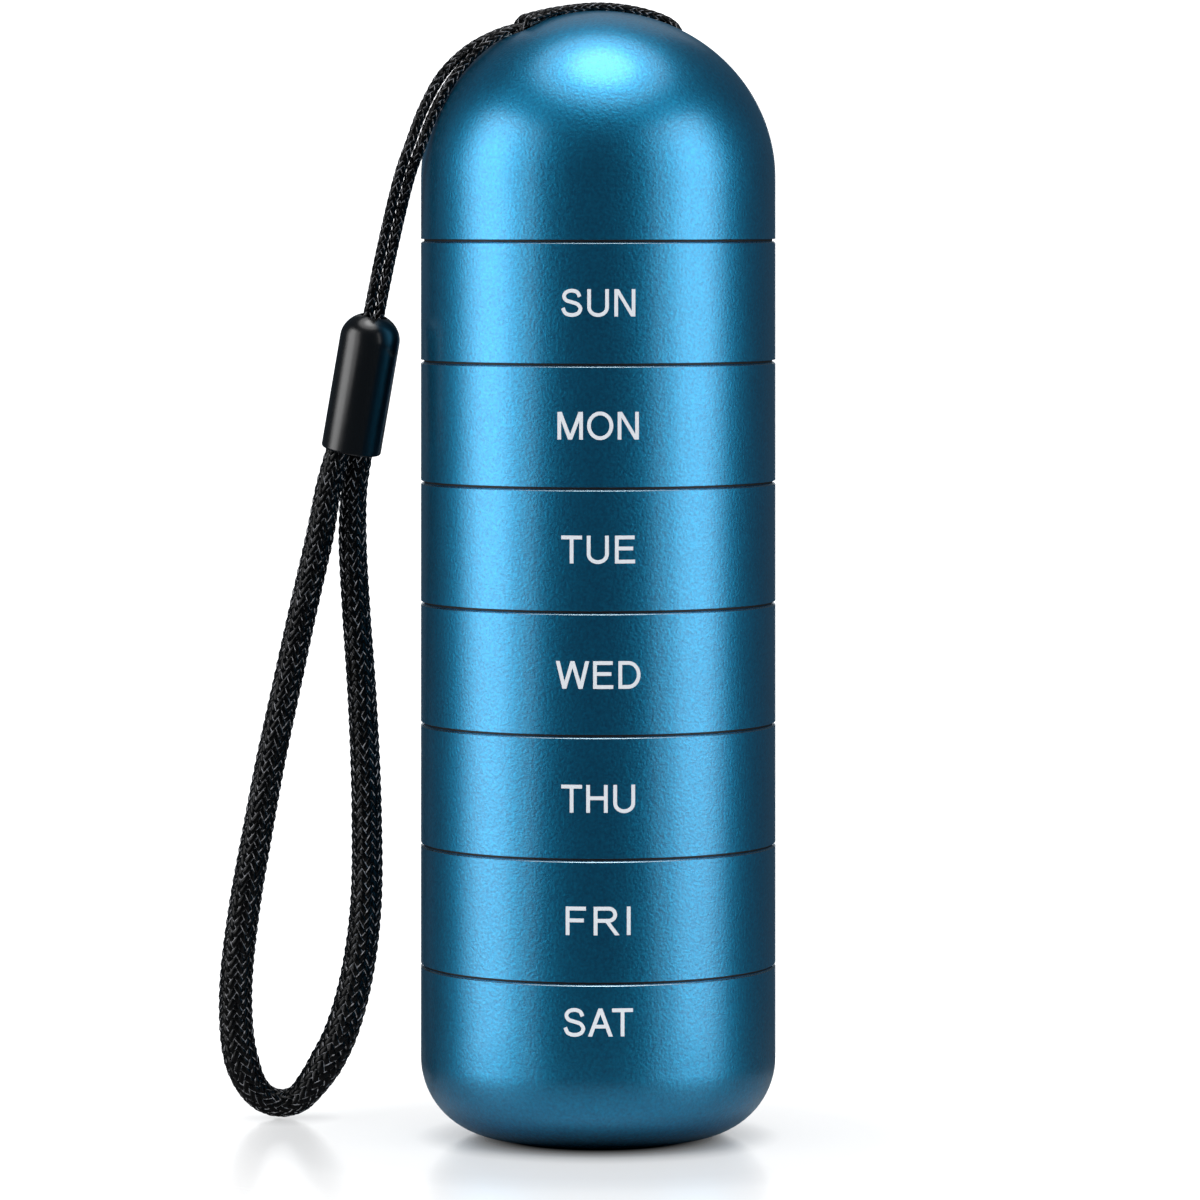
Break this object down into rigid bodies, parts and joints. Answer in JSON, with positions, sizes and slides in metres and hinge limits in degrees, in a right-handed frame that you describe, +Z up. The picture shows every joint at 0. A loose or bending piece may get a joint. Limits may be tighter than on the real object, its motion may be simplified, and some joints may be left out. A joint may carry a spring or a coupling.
{
  "type": "weekly pill organizer",
  "caption": "Capsule-shaped weekly pill organizer: day compartments in blue anodised aluminium that screw onto one another under a domed cap with a braided wrist strap.",
  "frame": {"origin": "centre of the flat foot under the lowest compartment", "axes": "+Z up along the stack's axis, -Y towards the labelled front, +X to the right as seen from the front, so the strap hangs on the -X side"},
  "size_m": [0.0697, 0.0442, 0.1414],
  "materials": {
    "anodised_shell": "blue anodised, fine bead-blasted satin",
    "moulded_liner": "matt black polypropylene",
    "seal": "soft dark grey silicone",
    "cord": "braided black polyester",
    "bead": "glossy black",
    "crimp": "plain, drawn tube"
  },
  "bodies": {
    "sat_base": {"sat_base_shell": "anodised_shell", "sat_base_cup": "moulded_liner"},
    "fri_seal_ring": {"fri_seal": "seal"},
    "fri_section": {"fri_sleeve": "anodised_shell", "fri_cup": "moulded_liner"},
    "thu_seal_ring": {"thu_seal": "seal"},
    "thu_section": {"thu_sleeve": "anodised_shell", "thu_cup": "moulded_liner"},
    "wed_seal_ring": {"wed_seal": "seal"},
    "wed_section": {"wed_sleeve": "anodised_shell", "wed_cup": "moulded_liner"},
    "tue_seal_ring": {"tue_seal": "seal"},
    "tue_section": {"tue_sleeve": "anodised_shell", "tue_cup": "moulded_liner"},
    "mon_seal_ring": {"mon_seal": "seal"},
    "mon_section": {"mon_sleeve": "anodised_shell", "mon_cup": "moulded_liner"},
    "sun_seal_ring": {"sun_seal": "seal"},
    "sun_section": {"sun_sleeve": "anodised_shell", "sun_cup": "moulded_liner"},
    "cap_seal_ring": {"cap_seal": "seal"},
    "cap": {"cap_dome_shell": "anodised_shell", "cap_insert": "moulded_liner", "strap_bead": "bead", "strap_crimp": "crimp", "strap_thin_cord": "cord", "strap_wrist_loop": "cord"}
  },
  "joints": [
    {"name": "fri_lift", "type": "slide", "parent": "sat_base", "child": "fri_seal_ring", "axis": [0, 0, 1], "range_m": [0, 0.005]},
    {"name": "fri_turn", "type": "hinge", "parent": "fri_seal_ring", "child": "fri_section", "pos_m": [0, 0, 0.0213], "axis": [0, 0, 1], "range_deg": [0, 360]},
    {"name": "thu_lift", "type": "slide", "parent": "fri_section", "child": "thu_seal_ring", "axis": [0, 0, 1], "range_m": [0, 0.005]},
    {"name": "thu_turn", "type": "hinge", "parent": "thu_seal_ring", "child": "thu_section", "pos_m": [0, 0, 0.0363], "axis": [0, 0, 1], "range_deg": [0, 360]},
    {"name": "wed_lift", "type": "slide", "parent": "thu_section", "child": "wed_seal_ring", "axis": [0, 0, 1], "range_m": [0, 0.005]},
    {"name": "wed_turn", "type": "hinge", "parent": "wed_seal_ring", "child": "wed_section", "pos_m": [0, 0, 0.0513], "axis": [0, 0, 1], "range_deg": [0, 360]},
    {"name": "tue_lift", "type": "slide", "parent": "wed_section", "child": "tue_seal_ring", "axis": [0, 0, 1], "range_m": [0, 0.005]},
    {"name": "tue_turn", "type": "hinge", "parent": "tue_seal_ring", "child": "tue_section", "pos_m": [0, 0, 0.0663], "axis": [0, 0, 1], "range_deg": [0, 360]},
    {"name": "mon_lift", "type": "slide", "parent": "tue_section", "child": "mon_seal_ring", "axis": [0, 0, 1], "range_m": [0, 0.005]},
    {"name": "mon_turn", "type": "hinge", "parent": "mon_seal_ring", "child": "mon_section", "pos_m": [0, 0, 0.0813], "axis": [0, 0, 1], "range_deg": [0, 360]},
    {"name": "sun_lift", "type": "slide", "parent": "mon_section", "child": "sun_seal_ring", "axis": [0, 0, 1], "range_m": [0, 0.005]},
    {"name": "sun_turn", "type": "hinge", "parent": "sun_seal_ring", "child": "sun_section", "pos_m": [0, 0, 0.0963], "axis": [0, 0, 1], "range_deg": [0, 360]},
    {"name": "cap_lift", "type": "slide", "parent": "sun_section", "child": "cap_seal_ring", "axis": [0, 0, 1], "range_m": [0, 0.005]},
    {"name": "cap_turn", "type": "hinge", "parent": "cap_seal_ring", "child": "cap", "pos_m": [0, 0, 0.1113], "axis": [0, 0, 1], "range_deg": [0, 360]}
  ],
  "couplings": [
    {"joint": "fri_lift", "follows": "fri_turn", "m_per_rad": 0.000795},
    {"joint": "thu_lift", "follows": "thu_turn", "m_per_rad": 0.000795},
    {"joint": "wed_lift", "follows": "wed_turn", "m_per_rad": 0.000795},
    {"joint": "tue_lift", "follows": "tue_turn", "m_per_rad": 0.000795},
    {"joint": "mon_lift", "follows": "mon_turn", "m_per_rad": 0.000795},
    {"joint": "sun_lift", "follows": "sun_turn", "m_per_rad": 0.000795},
    {"joint": "cap_lift", "follows": "cap_turn", "m_per_rad": 0.000795}
  ]
}
